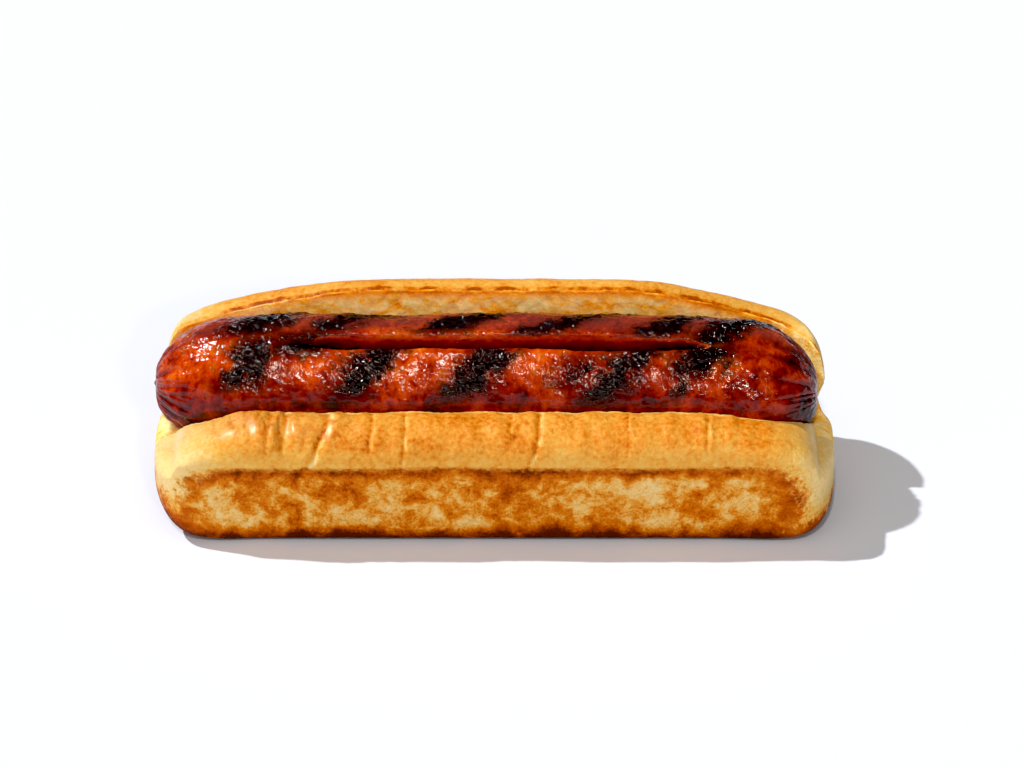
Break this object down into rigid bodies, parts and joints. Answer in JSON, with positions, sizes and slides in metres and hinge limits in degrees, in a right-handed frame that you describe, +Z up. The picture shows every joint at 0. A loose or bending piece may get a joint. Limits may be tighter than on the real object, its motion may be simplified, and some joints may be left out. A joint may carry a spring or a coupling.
{
  "type": "hot dog",
  "caption": "Grilled hot dog: a scored, pucker-ended frankfurter lying in a top-sliced white roll with flat toasted sides and a browned dome crust.",
  "frame": {"origin": "centre of the footprint of the bounding box, on the flat underside of the roll", "axes": "+X along the roll, +Y from the low front half towards the tall back half, +Z up"},
  "size_m": [0.1566, 0.0566, 0.0432],
  "materials": {
    "roll": "baked bread: golden brown crust, flat sides toasted brown in patches, pale ends and crumb",
    "sausage": "greasy, shiny grilled sausage skin, red-brown with dark slanted char marks and a bright red cut"
  },
  "bodies": {
    "root": {"roll": "roll", "sausage": "sausage"}
  },
  "joints": []
}
